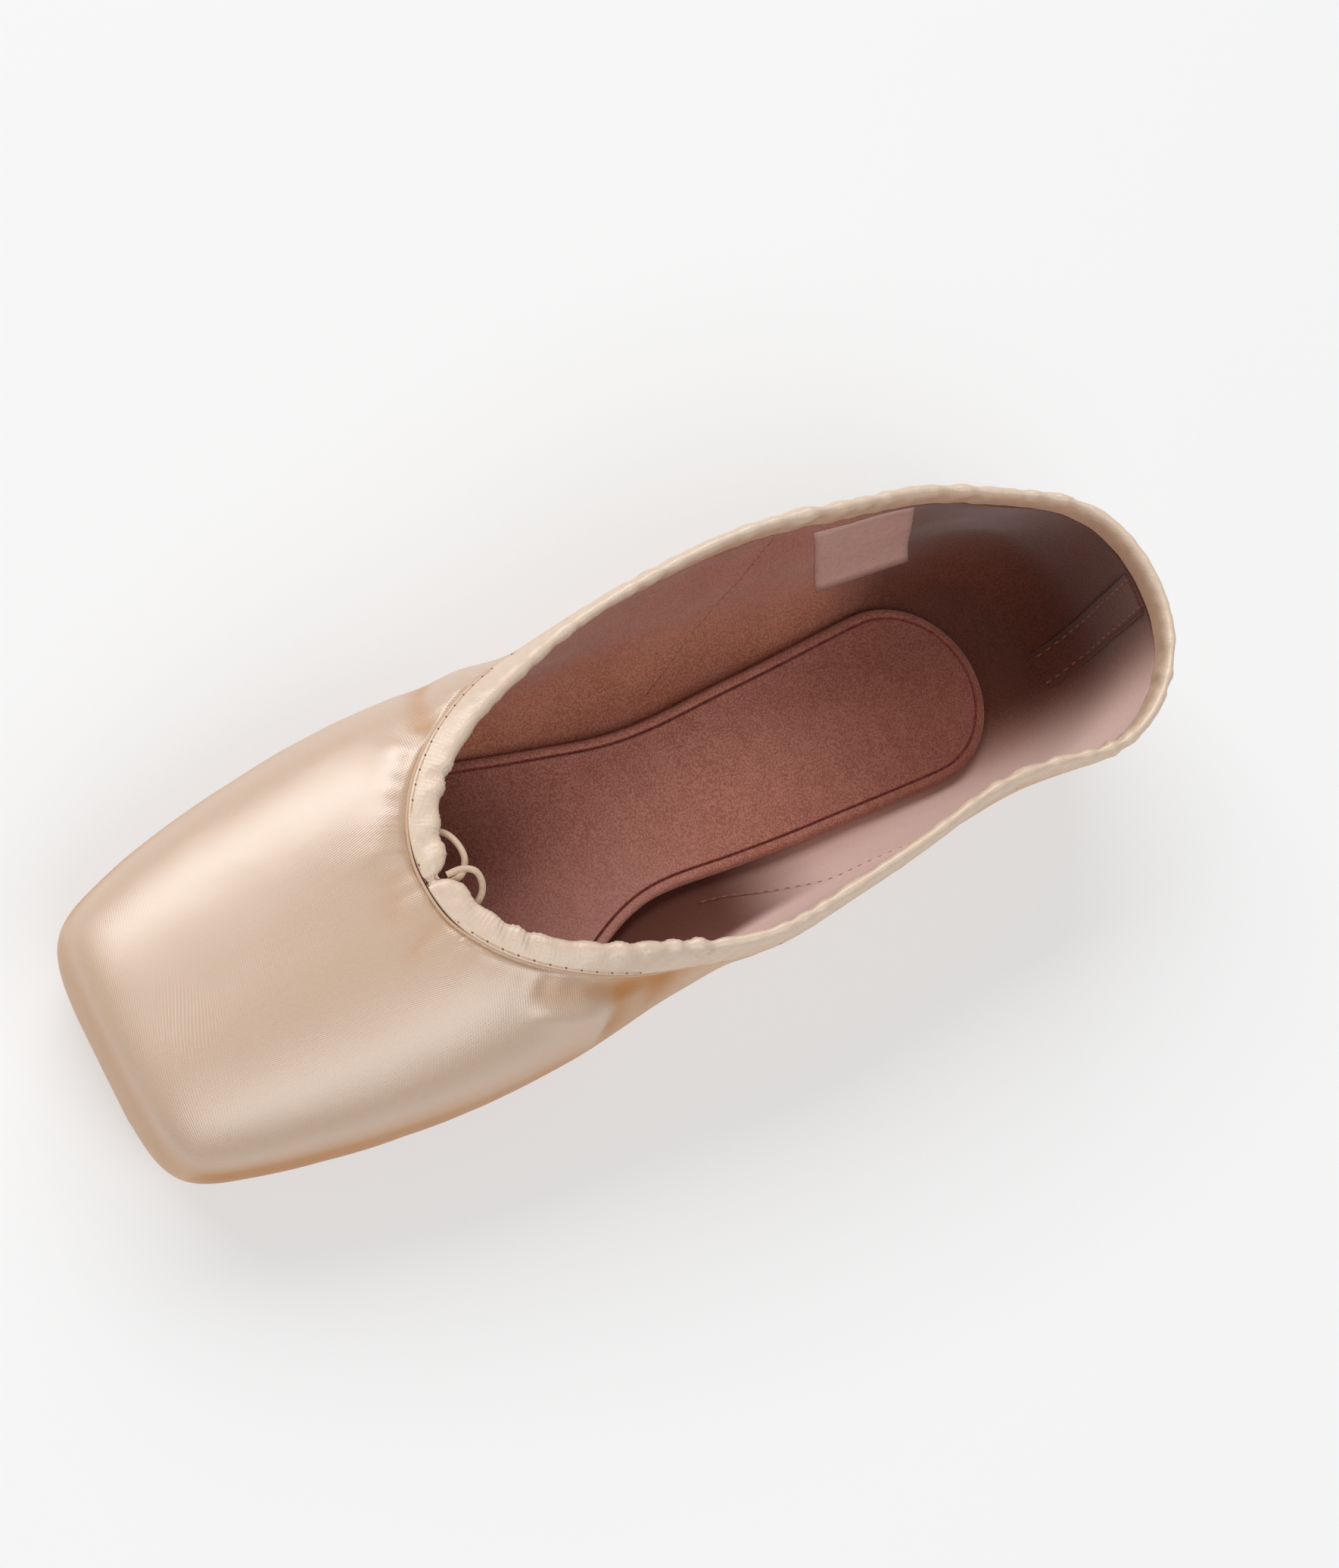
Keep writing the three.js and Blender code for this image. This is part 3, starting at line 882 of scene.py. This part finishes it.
def satin_weave_group():
    """Floating threads of a satin weave, as the height of dots set in slanting rows."""
    group = bpy.data.node_groups.new("satin_weave", "ShaderNodeTree")
    group.interface.new_socket("Cloth", in_out="INPUT", socket_type="NodeSocketVector")
    group.interface.new_socket("Thread", in_out="INPUT", socket_type="NodeSocketFloat")
    group.interface.new_socket("Height", in_out="OUTPUT", socket_type="NodeSocketFloat")
    given = group.nodes.new("NodeGroupInput")
    made = group.nodes.new("NodeGroupOutput")
    parts = group.nodes.new("ShaderNodeSeparateXYZ")
    group.links.new(given.outputs["Cloth"], parts.inputs["Vector"])
    turns = calculate(group, "DIVIDE", 2 * math.pi, given.outputs["Thread"])
    along = calculate(group, "MULTIPLY", parts.outputs["X"], turns)
    across = calculate(group, "MULTIPLY", parts.outputs["Y"], turns)
    half_along = calculate(group, "MULTIPLY", along, 0.5)
    slant = calculate(group, "MULTIPLY_ADD", across, ROW_SLANT, half_along)
    back_slant = calculate(group, "MULTIPLY_ADD", across, FLOAT_SLANT, half_along)
    rows = calculate(group, "SINE", slant)
    floats = calculate(group, "SINE", back_slant)
    dots = calculate(group, "MULTIPLY", rows, floats)
    raised = calculate(group, "MULTIPLY_ADD", dots, 0.5, 0.5)
    height = calculate(group, "POWER", raised, 1.6)
    group.links.new(height, made.inputs["Height"])
    return group


satin_weave = satin_weave_group()


def satin(name, shade, deep_tone_and_painted_shade, painted_fold_shade, thread, uv_name, roughness, relief, polish):
    """Satin in one shade, with painted shade where it turns under the shoe, in folds and between its
    threads, and its weave as relief.
    """
    material, tree, shader = new_finish(name)
    link = tree.links.new
    place = tree.nodes.new("ShaderNodeTexCoord")
    flat = tree.nodes.new("ShaderNodeUVMap")
    flat.uv_map = uv_name
    weave = tree.nodes.new("ShaderNodeGroup")
    weave.node_tree = satin_weave
    weave.inputs["Thread"].default_value = thread
    link(flat.outputs["UV"], weave.inputs["Cloth"])
    slubs = tree.nodes.new("ShaderNodeTexNoise")
    slubs.inputs["Scale"].default_value = 260
    slubs.inputs["Detail"].default_value = 3
    stretched = tree.nodes.new("ShaderNodeMapping")
    stretched.inputs["Scale"].default_value = (0.25, 3.0, 1)
    link(flat.outputs["UV"], stretched.inputs["Vector"])
    link(stretched.outputs["Vector"], slubs.inputs["Vector"])
    clouds = tree.nodes.new("ShaderNodeTexNoise")
    clouds.inputs["Scale"].default_value = 28
    link(place.outputs["Object"], clouds.inputs["Vector"])
    facing = tree.nodes.new("ShaderNodeSeparateXYZ")
    link(place.outputs["Normal"], facing.inputs["Vector"])
    # Painted shade: the colour turns deeper where the satin's normal points down, under the shoe, added
    # to random clouds and slubs of its own tone.
    under = tree.nodes.new("ShaderNodeMapRange")
    under.inputs["From Min"].default_value = 0.5
    under.inputs["From Max"].default_value = -0.1
    link(facing.outputs["Z"], under.inputs["Value"])
    depth = calculate(tree, "MULTIPLY_ADD", clouds.outputs["Fac"], 0.30, -0.15)
    depth = calculate(tree, "ADD", depth, under.outputs["Result"])
    # The painted shade of the folds, stored on the upper, darkens the colour further.
    folded = tree.nodes.new("ShaderNodeAttribute")
    folded.attribute_name = "painted_fold_amount"
    mostly_under = calculate(tree, "MULTIPLY", under.outputs["Result"], 0.85)
    painted_shade_mask = calculate(tree, "MULTIPLY_ADD", folded.outputs["Fac"], 0.9, mostly_under)
    slub_tone = calculate(tree, "MULTIPLY_ADD", slubs.outputs["Fac"], 0.16, -0.08)
    depth = calculate(tree, "ADD", depth, slub_tone)
    # Painted shade of the weave: raised floats lighter, the hollows between them darker.
    weave_painted_shade = calculate(tree, "MULTIPLY_ADD", weave.outputs["Height"], -0.75, 0.32)
    depth = calculate(tree, "ADD", depth, weave_painted_shade)
    tint = tree.nodes.new("ShaderNodeMix")
    tint.data_type = "RGBA"
    tint.clamp_factor = True
    tint.inputs["A"].default_value = (*shade, 1)
    tint.inputs["B"].default_value = (*deep_tone_and_painted_shade, 1)
    link(depth, tint.inputs["Factor"])
    fold_painted_shade_mix = tree.nodes.new("ShaderNodeMix")
    fold_painted_shade_mix.data_type = "RGBA"
    fold_painted_shade_mix.inputs["B"].default_value = (*painted_fold_shade, 1)
    link(folded.outputs["Fac"], fold_painted_shade_mix.inputs["Factor"])
    link(tint.outputs["Result"], fold_painted_shade_mix.inputs["A"])
    link(fold_painted_shade_mix.outputs["Result"], shader.inputs["Base Color"])
    height = calculate(tree, "MULTIPLY_ADD", slubs.outputs["Fac"], 0.5, weave.outputs["Height"])
    bump = tree.nodes.new("ShaderNodeBump")
    bump.inputs["Strength"].default_value = 0.6
    bump.inputs["Distance"].default_value = relief
    link(height, bump.inputs["Height"])
    link(bump.outputs["Normal"], shader.inputs["Normal"])
    gloss = calculate(tree, "MULTIPLY_ADD", slubs.outputs["Fac"], 0.12, roughness - 0.06)
    link(gloss, shader.inputs["Roughness"])
    # The coat thins where shade is painted, under the shoe and in folds.
    calendered = calculate(tree, "MULTIPLY_ADD", painted_shade_mask, -polish, polish)
    calendered.node.use_clamp = True
    link(calendered, shader.inputs["Coat Weight"])
    link(bump.outputs["Normal"], shader.inputs["Coat Normal"])
    shader.inputs["Specular IOR Level"].default_value = 0.08
    shader.inputs["Coat Roughness"].default_value = 0.37
    shader.inputs["Coat IOR"].default_value = 2.35
    shader.inputs["Sheen Weight"].default_value = 0.06
    shader.inputs["Sheen Roughness"].default_value = 0.4
    shader.inputs["Sheen Tint"].default_value = (1.0, 0.96, 0.92, 1)
    return material


peach_satin = satin(
    "peach_satin",
    shade=(0.58, 0.395, 0.27),
    deep_tone_and_painted_shade=(0.60, 0.34, 0.17),
    painted_fold_shade=(0.49, 0.215, 0.065),
    thread=SATIN_THREAD,
    uv_name="cloth",
    roughness=0.35,
    relief=0.00005,
    polish=1.0,
)

# Painted light and shade on the lining: paler on the left where light falls on it, painted shade at the
# heel, and painted shadow low down beside the insole.
lining_suede = suede(
    "brushed_lining",
    dark=(0.29, 0.095, 0.055),
    light=(0.42, 0.175, 0.115),
    grain=2500,
    stroke=110,
    relief=0.00016,
    fuzz=0.45,
    painted_light_and_shade=[
        ((0.80, 0.58, 0.52), "MIX", 0.85, [("Y", 0.008, 0.026)]),
        ((0.30, 0.22, 0.20), "MULTIPLY", 1.0, [("X", -0.060, -0.088), ("Y", 0.026, 0.010)]),
        (
            (0.18, 0.09, 0.07),
            "MULTIPLY",
            1.0,
            [("Z", 0.0105, 0.0075), ("X", -0.042, -0.012), ("Y", 0.005, 0.012)],
        ),
    ],
)
satin_tree = tree_of_faces(upper_shape, 0)
lining_tree = tree_of_faces(upper_shape, 1)
finished_piece("upper_satin_and_lining", upper_shape, [peach_satin, lining_suede], ["upper"])


# ---- Seams of the upper -------------------------------------------------------------------
# The front and the back of the upper are joined at a slanting seam on each side, and a tape
# covers the seam up the heel. The thread shows as small sunk stitches, outside and inside.

# Lines in millimetres. The side seam is the same on both sides.
SIDE_SEAM = [(-46.5, 37, 41), (-43.4, 35, 30), (-40, 33, 20), (-37, 31, 12)]
HEEL_SEAM = [(-120, 5.0, 40), (-120, 4.6, 30), (-120, 3.4, 20), (-119, 1.5, 10), (-117, 0.6, 4)]
TAPE_MIDDLE = [
    (-116.8, 5.6, 39),
    (-117.3, 5.8, 30),
    (-117.2, 6.2, 20),
    (-115, 6.8, 10.5),
    (-110.2, 7.6, 5.5),
]
LINING_SEAMS = {
    "right": [
        (-46.5, -34.6, 39.5),
        (-43.4, -33.2, 30),
        (-40, -31.8, 20),
        (-37.1, -30.3, 13),
        (-33.1, -28.2, 8.8),
        (-28.6, -25.8, 6.5),
        (-21.8, -22.5, 5.7),
    ],
    "left": [
        (-9.8, 20.5, 5.6),
        (-15.2, 21.6, 5.5),
        (-22.6, 24, 5.8),
        (-30.2, 26.4, 6.9),
        (-37.8, 28.3, 9.1),
        (-47, 28.8, 11),
        (-57.8, 29, 18),
        (-65.8, 29.5, 28),
        (-69.8, 30.5, 39),
    ],
}
SIDE_STITCH_OFFSET = Vector((0.0016, 0, 0))
HEEL_STITCH_OFFSET = 0.0022
TAPE_WIDTH = 0.0085
TAPE_THICKNESS = 0.0004
TAPE_STITCH_OFFSET = TAPE_WIDTH * 0.36
TAPE_INSIDE = Vector((0.002, 0, 0))

lining_thread = twisted_thread("lining_thread", colour=(0.30, 0.11, 0.075), lay=0.0003)
satin_thread = twisted_thread("satin_thread", colour=(0.62, 0.44, 0.31), lay=0.0003)


def seam_route(points):
    """A smooth line through places given in millimetres."""
    return smooth_route([Vector(p) * MM for p in points], 8)


def thin_welt(name, places, radius, material):
    """A low rounded welt along a route, half sunk in what it lies on."""
    line = bpy.data.curves.new(name, "CURVE")
    line.dimensions = "3D"
    line.bevel_depth = radius
    line.bevel_resolution = 2
    spline = line.splines.new("POLY")
    spline.points.add(len(places) - 1)
    for knot, point in zip(spline.points, places):
        knot.co = (*point, 1)
    line.materials.append(material)
    welt = bpy.data.objects.new(name, line)
    scene.collection.objects.link(welt)
    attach(welt, "root")
    return welt


def satin_stitches(name, line):
    """Small stitches on the satin, beside one of its seams."""
    places, normals = laid_on(satin_tree, line, 0.00004)
    stitches(name, places, normals, 0.0026, 0.0020, 0.00034, satin_thread)


for side, seam_points in LINING_SEAMS.items():
    line = seam_route(seam_points)
    places, normals = laid_on(lining_tree, line, -0.00015)
    thin_welt("lining_seam_" + side, places, 0.00035, lining_suede)
    places, normals = laid_on(lining_tree, line, 0.00012)
    stitches(
        "lining_stitches_" + side,
        places,
        normals,
        spacing=0.0023,
        length=0.0014,
        width=0.00034,
        material=lining_thread,
    )

for side, sign in (("right", -1), ("left", 1)):
    line = seam_route([(x, y * sign, z) for x, y, z in SIDE_SEAM])
    places, normals = laid_on(satin_tree, line, -0.0002)
    thin_welt("side_seam_" + side, places, 0.0004, peach_satin)
    satin_stitches("side_stitches_" + side, [p + SIDE_STITCH_OFFSET for p in places])

heel_line = seam_route(HEEL_SEAM)
places, normals = laid_on(satin_tree, heel_line, -0.0002)
thin_welt("heel_seam", places, 0.00045, peach_satin)
for side, sign in (("left", 1), ("right", -1)):
    shift = Vector((0, sign * HEEL_STITCH_OFFSET, 0))
    satin_stitches("heel_stitches_" + side, [p + shift for p in heel_line])

# The tape is a strip laid up the heel, its far side pasted on the lining.
tape_middle = [p + TAPE_INSIDE for p in seam_route(TAPE_MIDDLE)]
tape_rows = len(tape_middle) - 1
tape_shape = bmesh.new()
bmesh.ops.create_grid(tape_shape, x_segments=6, y_segments=tape_rows, size=0.5)
for vert in tape_shape.verts:
    point = tape_middle[round((vert.co.y + 0.5) * tape_rows)]
    place, normal, _, _ = lining_tree.find_nearest(point + Vector((0, TAPE_WIDTH * vert.co.x, 0)))
    vert.co = place + normal * 0.00006
tape_shape.normal_update()
tape_shape.faces.ensure_lookup_table()
if tape_shape.faces[0].normal.x < 0:
    bmesh.ops.reverse_faces(tape_shape, faces=tape_shape.faces)
bmesh.ops.solidify(tape_shape, geom=tape_shape.faces, thickness=-TAPE_THICKNESS)
bmesh.ops.recalc_face_normals(tape_shape, faces=tape_shape.faces)
finished_piece("heel_tape", tape_shape, [lining_suede])
for side, sign in (("left", 1), ("right", -1)):
    shift = Vector((0, sign * TAPE_STITCH_OFFSET, 0))
    places, normals = laid_on(lining_tree, [p + shift for p in tape_middle], TAPE_THICKNESS + 0.0001)
    stitches(
        "tape_stitches_" + side,
        places,
        normals,
        spacing=0.0023,
        length=0.0015,
        width=0.0004,
        material=lining_thread,
    )


# ---- Label --------------------------------------------------------------------------------
# A small bare patch of pale transfer film is pressed on the lining, on the wearer's right.

LABEL_CORNER = Vector((-0.0565, -0.0335, 0.038))
LABEL_ALONG = Vector((-0.0235, 0.004, 0.0005))
LABEL_DOWN = Vector((-0.010, 0.007, -0.0275))
FILM_THICKNESS = 0.00008

film, tree, shader = new_finish("label_film")
shader.inputs["Roughness"].default_value = 0.7
speckle = tree.nodes.new("ShaderNodeTexNoise")
speckle.inputs["Scale"].default_value = 900
place = tree.nodes.new("ShaderNodeTexCoord")
tree.links.new(place.outputs["Object"], speckle.inputs["Vector"])
film_tone = tree.nodes.new("ShaderNodeMix")
film_tone.data_type = "RGBA"
film_tone.inputs["A"].default_value = (0.46, 0.26, 0.22, 1)
film_tone.inputs["B"].default_value = (0.62, 0.42, 0.36, 1)
tree.links.new(speckle.outputs["Fac"], film_tone.inputs["Factor"])
tree.links.new(film_tone.outputs["Result"], shader.inputs["Base Color"])

label_shape = bmesh.new()
bmesh.ops.create_grid(label_shape, x_segments=12, y_segments=12, size=0.5)
for vert in label_shape.verts:
    point = LABEL_CORNER + LABEL_ALONG * (vert.co.x + 0.5) + LABEL_DOWN * (vert.co.y + 0.5)
    place, normal, _, _ = lining_tree.find_nearest(point)
    vert.co = place + normal * 0.00005
label_shape.normal_update()
label_shape.faces.ensure_lookup_table()
if label_shape.faces[0].normal.y < 0:
    bmesh.ops.reverse_faces(label_shape, faces=label_shape.faces)
bmesh.ops.solidify(label_shape, geom=label_shape.faces, thickness=-FILM_THICKNESS)
bmesh.ops.recalc_face_normals(label_shape, faces=label_shape.faces)
finished_piece("bare_label", label_shape, [film])


# ---- Binding ------------------------------------------------------------------------------
# A bias-cut ribbon is folded over the edge of the opening, with the drawstring inside, and
# sewn through. It puckers a little all round, and its two ends meet in a notch at the throat.

RIBBON_THREAD = 0.0009
RIBBON_BIAS = 0.22
PUCKER_DEPTH = 0.00034
PUCKER_PITCH = 0.0072
NOTCH_DEPTH = 0.0011
NOTCH_WIDTH = 0.0007
NOTCH_LIP = 0.0005
STITCH_RISE = 0.0006
STITCH_PITCH = 0.0032
OPENING_CENTRE = Vector((-0.03, 0, 0.045))


def pucker_at(point):
    """How far the ribbon moves at a point: it puckers, and its ends turn in at the notch."""
    _, place, distance = seam_places.find(point)
    along = place * SEAM_STEP
    free = ease(distance, 0.0008, 0.0030)
    lean = along + 0.55 * distance + 0.005 * noise.noise(Vector((along * 70, 0, 5.3)))
    size = 0.5 + 1.1 * noise.noise(Vector((along * 75, 2.2, 0)))
    pucker = size * math.sin(2 * math.pi * lean / PUCKER_PITCH)
    pucker += 0.7 * noise.noise(Vector((along * 330 + distance * 200, distance * 160, 7.7)))
    move = PUCKER_DEPTH * pucker * free * (0.5 + 0.5 * ease(distance, 0.002, 0.005))
    if point.x > 0.03:
        move -= NOTCH_DEPTH * bell(point.y, NOTCH_WIDTH)
        move += NOTCH_LIP * bell(abs(point.y) - 0.0026, 0.0016) * free
    return move


crease_sharp_edges(binding_cage, BINDING_SHARP)
binding_shape = refined(binding_cage, 3)
binding_shape.normal_update()
ribbon = binding_shape.loops.layers.uv.new("ribbon")
for vert in binding_shape.verts:
    vert.co += vert.normal * pucker_at(vert.co)
for face in binding_shape.faces:
    first = seam_places.find(face.verts[0].co)[1]
    for loop in face.loops:
        _, place, distance = seam_places.find(loop.vert.co)
        if place - first > len(seam) / 2:
            place -= len(seam)
        elif first - place > len(seam) / 2:
            place += len(seam)
        along = place * SEAM_STEP + 0.0007 * noise.noise(loop.vert.co * 300)
        loop[ribbon].uv = (along + distance, RIBBON_BIAS * (distance - along))

cream_ribbon = satin(
    "cream_ribbon",
    shade=(0.71, 0.555, 0.43),
    deep_tone_and_painted_shade=(0.66, 0.46, 0.315),
    painted_fold_shade=(0.62, 0.42, 0.28),
    thread=RIBBON_THREAD,
    uv_name="ribbon",
    roughness=0.45,
    relief=0.00006,
    polish=0.35,
)
binding_tree = BVHTree.FromBMesh(binding_shape)
finished_piece("binding_ribbon", binding_shape, [cream_ribbon], ["collar_binding"])

seam_ups = []
for i, point in enumerate(seam):
    along = (seam[(i + 4) % len(seam)] - seam[i - 4]).normalized()
    _, normal, _, _ = satin_tree.find_nearest(point)
    up = normal.cross(along).normalized()
    seam_ups.append(up if up.dot(OPENING_CENTRE - point) > 0 else -up)


def along_seam(rise, proud, tree):
    """A line beside the seam on a surface, smoothed, and the normals along it."""
    places, normals = laid_on(tree, [p + up * rise for p, up in zip(seam, seam_ups)], proud)
    count = len(places)
    for _ in range(3):
        places = [(places[i - 1] + places[i] * 2 + places[(i + 1) % count]) / 4 for i in range(count)]
        normals = [normals[i - 1] + normals[i] * 2 + normals[(i + 1) % count] for i in range(count)]
        normals = [normal.normalized() for normal in normals]
    return places, normals


running_thread = twisted_thread("running_thread", colour=(0.66, 0.44, 0.29), lay=0.0003)
# Dark marks for the needle holes: painted shade.
needle_hole_painted_shade = twisted_thread("needle_hole_painted_shade", colour=(0.30, 0.11, 0.05), lay=0.0003)
picot_thread = twisted_thread("picot_thread", colour=(0.80, 0.64, 0.50), lay=0.0003)

# One row of stitches holds the ribbon, with a dark mark between each two as painted shade in the needle
# holes.
stitch_line, stitch_normals = along_seam(STITCH_RISE, 0.00006, binding_tree)
stitches(
    "binding_stitches",
    stitch_line,
    stitch_normals,
    spacing=STITCH_PITCH,
    length=0.0026,
    width=0.0003,
    material=running_thread,
    closed=True,
)
stitches(
    "needle_holes",
    stitch_line,
    stitch_normals,
    spacing=STITCH_PITCH,
    length=0.0006,
    width=0.0004,
    material=needle_hole_painted_shade,
    closed=True,
    first=1.0,
)

# A fine cord closes the seam under the ribbon, and the ribbon's beaded edge stands beside it.
seam_line, _ = along_seam(0.0001, 0.0, satin_tree)
thin_welt("binding_seam", [*seam_line, seam_line[0]], 0.00034, running_thread)
edge_line, edge_normals = along_seam(-0.0003, 0.00008, satin_tree)
stitches(
    "picot_edge",
    edge_line,
    edge_normals,
    spacing=0.0008,
    length=0.00074,
    width=0.0005,
    material=picot_thread,
    closed=True,
)
